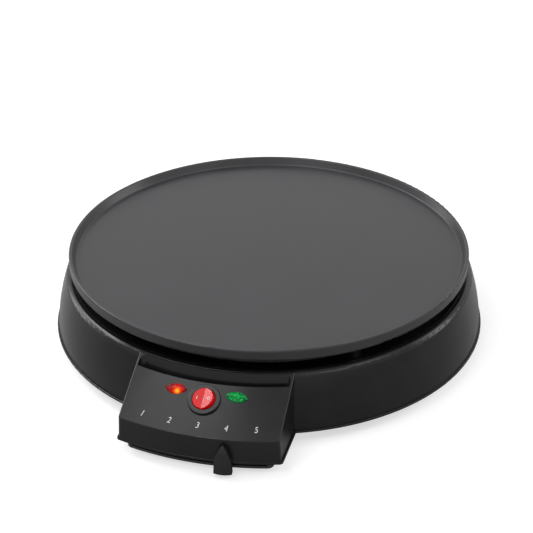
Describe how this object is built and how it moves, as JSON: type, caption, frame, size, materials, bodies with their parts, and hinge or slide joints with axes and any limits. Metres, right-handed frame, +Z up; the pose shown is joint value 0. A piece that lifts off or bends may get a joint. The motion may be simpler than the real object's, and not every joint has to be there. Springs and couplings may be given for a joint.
{
  "type": "electric crepe maker",
  "caption": "Countertop crepe maker: a round low-rimmed plate over a flared housing, with a front console that carries a rocker switch, lamps and a swinging temperature lever.",
  "frame": {"origin": "on the plate's axis at the height of the table, at the centre of the feet", "axes": "+Z up along the plate's axis, -Y towards the control console, +X to the right of somebody who faces the console"},
  "size_m": [0.3348, 0.3758, 0.0717],
  "materials": {
    "nonstick_cast": "dark non-stick coating",
    "black_gloss": "polished",
    "black_satin": "satin",
    "black_matte": "matte",
    "black_rubber": "matte",
    "zinc_steel": "zinc plated",
    "sheath_steel": "heat darkened",
    "bright_steel": "bright",
    "white_ceramic": "matte",
    "tab_brass": "bright",
    "red_plastic": "polished",
    "red_clear": "clear, faceted",
    "green_clear": "clear, faceted",
    "natural_nylon": "satin",
    "neon_glass": "clear",
    "white_sleeve": "woven glass sleeve",
    "brown_wire": "satin",
    "blue_wire": "satin",
    "green_yellow_wire": "satin"
  },
  "bodies": {
    "base": {"cooking_plate": "nonstick_cast", "housing": "black_gloss", "base_cover": "black_matte", "rubber_feet": "black_rubber", "cover_screws": "zinc_steel", "heating_element": "sheath_steel", "element_sleeves": "white_ceramic", "element_pins": "zinc_steel", "element_straps": "zinc_steel", "strap_screws": "zinc_steel", "reflector_pan": "bright_steel", "insulating_washers": "white_ceramic", "plate_standoffs": "zinc_steel", "standoff_screws": "zinc_steel", "thermostat_body": "white_ceramic", "thermostat_terminals": "tab_brass", "thermostat_bracket": "zinc_steel", "bracket_screws": "zinc_steel", "spindle_guide": "black_matte", "guide_screws": "zinc_steel", "switch_body": "black_satin", "switch_terminals": "tab_brass", "red_lens": "red_clear", "green_lens": "green_clear", "lamp_holders": "natural_nylon", "neon_lamps": "neon_glass", "cord_bushing": "black_rubber", "cord_saddle": "natural_nylon", "cord_clamp": "natural_nylon", "clamp_screws": "zinc_steel", "terminal_block": "natural_nylon", "terminal_screws": "tab_brass", "earth_tag": "tab_brass", "earth_screw": "zinc_steel", "thermal_fuse": "white_sleeve", "fuse_strap": "zinc_steel", "fuse_strap_screws": "zinc_steel", "live_lead": "brown_wire", "switched_lead": "brown_wire", "element_lead": "brown_wire", "fuse_lead": "blue_wire", "neutral_lead": "blue_wire", "earth_lead": "green_yellow_wire"},
    "lever": {"thermostat_spindle": "zinc_steel", "lever_arm": "zinc_steel", "lever_screw": "zinc_steel", "lever_pointer": "black_satin"},
    "rocker": {"switch_rocker": "red_plastic"},
    "contact": {"switch_contact": "tab_brass"}
  },
  "joints": [
    {"name": "lever_swing", "type": "hinge", "parent": "base", "child": "lever", "pos_m": [0, 0, 0], "axis": [0, 0, 1], "range_deg": [-17.9, 6.4]},
    {"name": "rocker_tilt", "type": "hinge", "parent": "base", "child": "rocker", "pos_m": [0, -0.1779, 0.04287], "axis": [0, 0.8786, 0.4775], "range_deg": [0, 20]},
    {"name": "contact_tilt", "type": "hinge", "parent": "base", "child": "contact", "pos_m": [0, -0.17403, 0.03576], "axis": [0, 0.8786, 0.4775], "range_deg": [-16, 0]}
  ],
  "couplings": [
    {"joint": "contact_tilt", "follows": "rocker_tilt", "ratio": -0.8}
  ]
}
